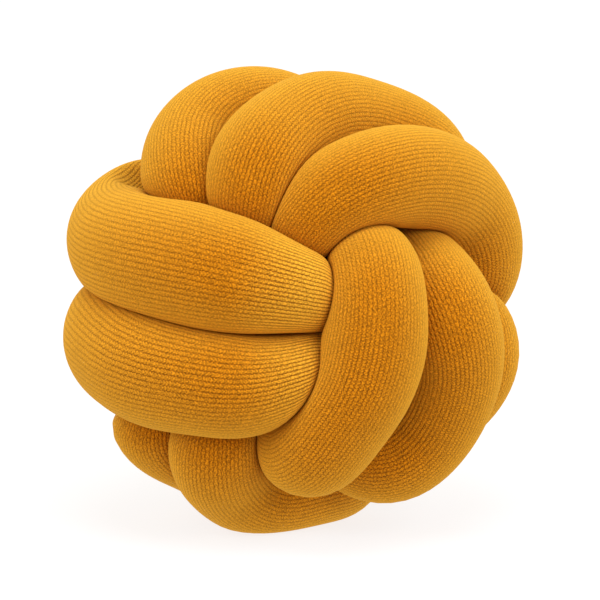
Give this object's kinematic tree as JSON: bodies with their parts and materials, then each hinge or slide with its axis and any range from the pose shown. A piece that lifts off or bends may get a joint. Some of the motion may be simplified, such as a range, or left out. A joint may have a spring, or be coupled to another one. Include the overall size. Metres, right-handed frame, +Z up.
{
  "type": "knot cushion",
  "caption": "Round decorative cushion tied from one long stuffed rib-knit tube, its turns crossing in bands over and under to form a ball.",
  "frame": {"origin": "on the surface the ball rests on, below the middle of its bounding box", "axes": "+Z up, -Y towards the side that the picture shows, +X to the right in the picture; the picture looks down on it by about 12 degrees"},
  "size_m": [0.2958, 0.285, 0.2958],
  "materials": {
    "fabric": "matte rib knit with a soft nap"
  },
  "bodies": {
    "root": {"knot": "fabric"}
  },
  "joints": []
}
